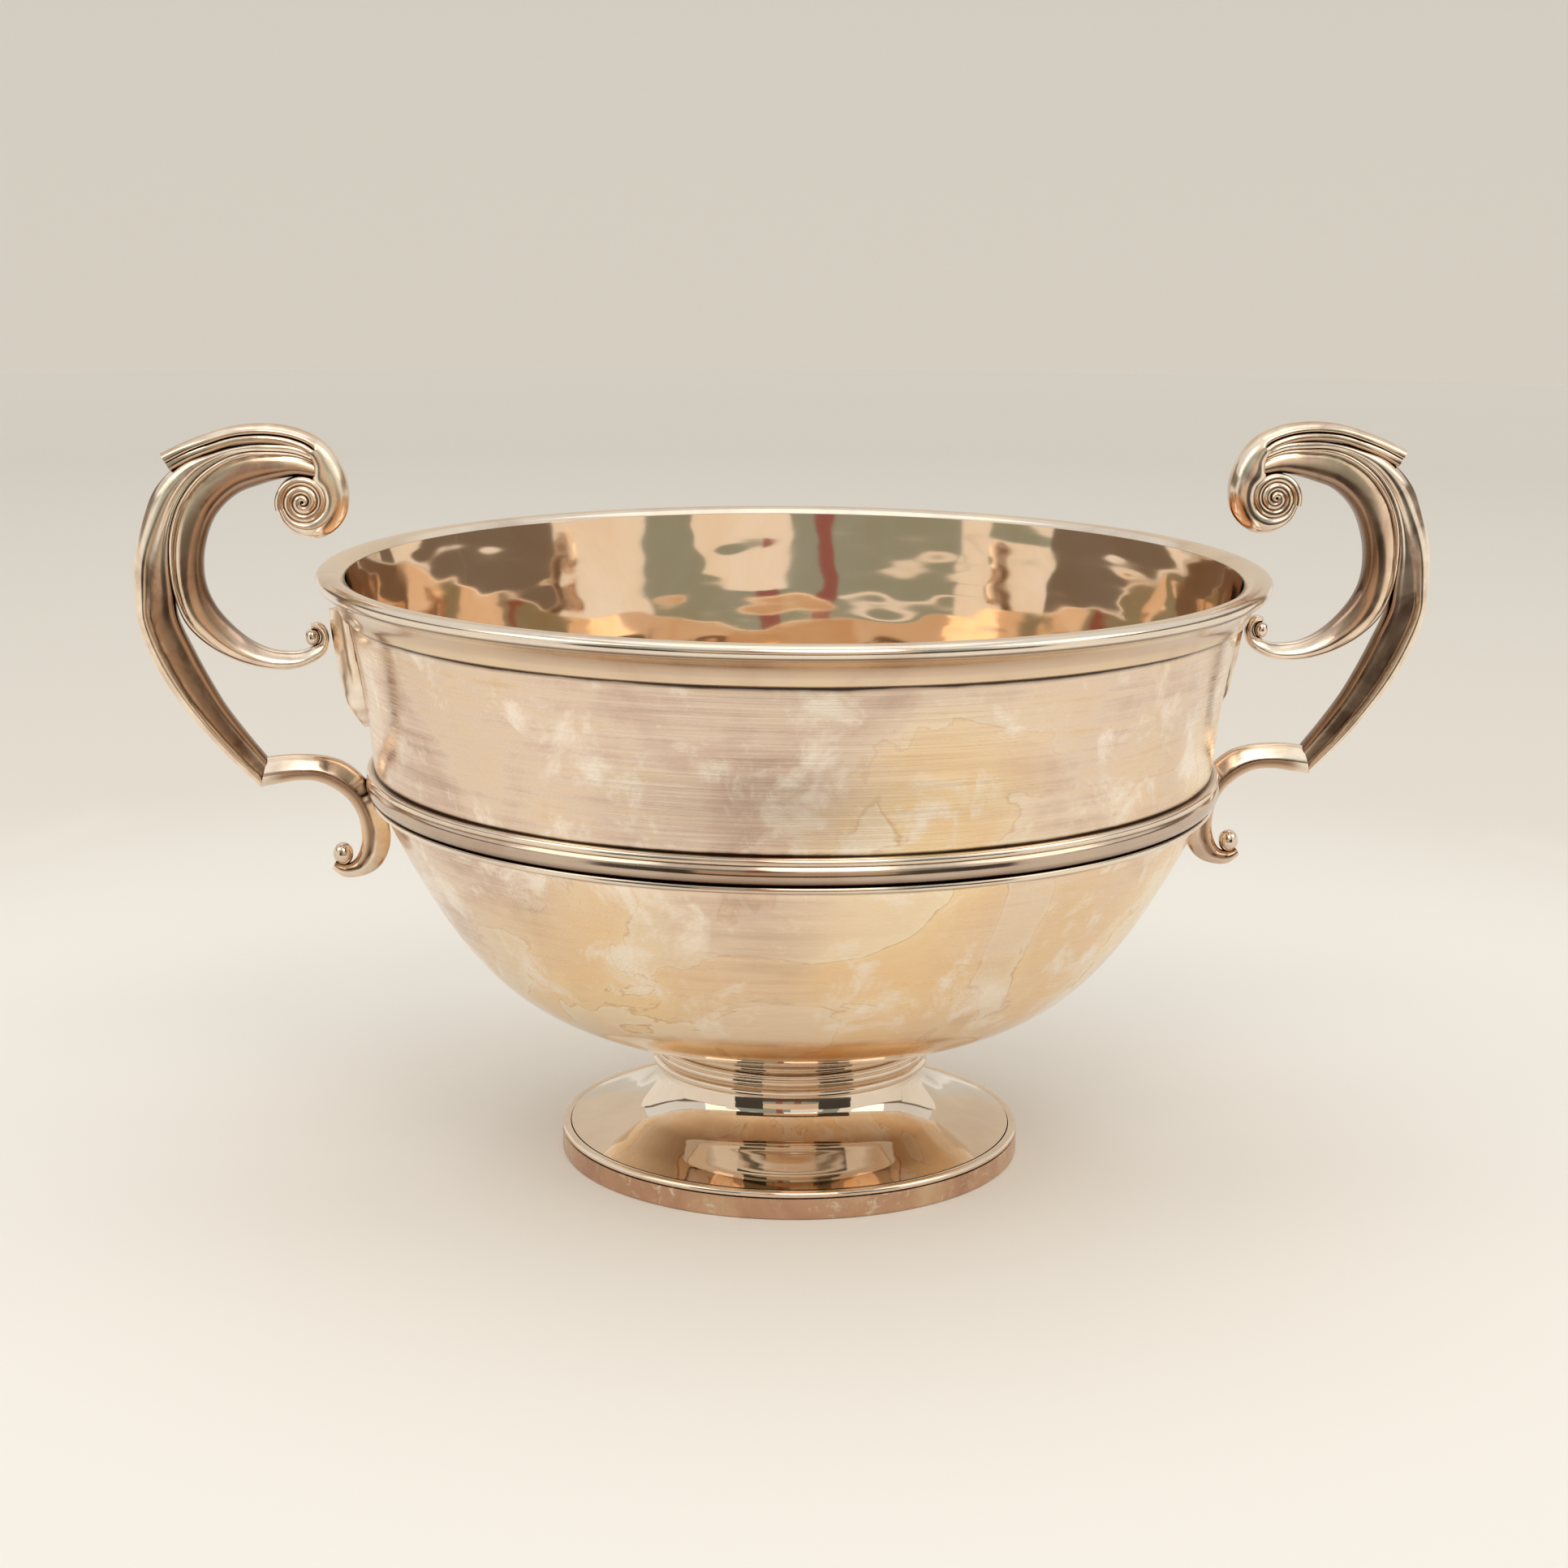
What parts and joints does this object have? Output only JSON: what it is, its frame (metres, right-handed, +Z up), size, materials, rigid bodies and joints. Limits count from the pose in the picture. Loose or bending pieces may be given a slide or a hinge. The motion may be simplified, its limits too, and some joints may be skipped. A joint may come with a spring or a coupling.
{
  "type": "two-handled bowl",
  "caption": "Round bowl on a low spreading foot, with an applied rim and girdle and a pair of tall scroll handles soldered to its sides.",
  "frame": {"origin": "centre of the foot's underside, on the surface the bowl stands on", "axes": "+Z up along the bowl's axis, X through the two handles, Y through the bowl's plain sides"},
  "size_m": [0.3436, 0.25, 0.1971],
  "materials": {
    "silver_satin": "old silver, satin from fine scratches, lightly tarnished",
    "silver_polished": "silver, mirror polish",
    "silver_toned": "silver with brown tarnish"
  },
  "bodies": {
    "root": {"bowl_shell": "silver_satin", "rim_moulding": "silver_satin", "girdle_moulding": "silver_satin", "girdle_lower_wire": "silver_satin", "foot_dome": "silver_polished", "foot_collar": "silver_polished", "foot_edge_wire": "silver_polished", "foot_skirt": "silver_toned", "crest_right": "silver_satin", "outer_arm_right": "silver_toned", "c_scroll_right": "silver_satin", "volute_coil_right": "silver_satin", "upper_ball_right": "silver_polished", "bracket_right": "silver_satin", "lower_ball_right": "silver_polished", "drop_right": "silver_satin", "crest_left": "silver_satin", "outer_arm_left": "silver_toned", "c_scroll_left": "silver_satin", "volute_coil_left": "silver_satin", "upper_ball_left": "silver_polished", "bracket_left": "silver_satin", "lower_ball_left": "silver_polished", "drop_left": "silver_satin"}
  },
  "joints": []
}
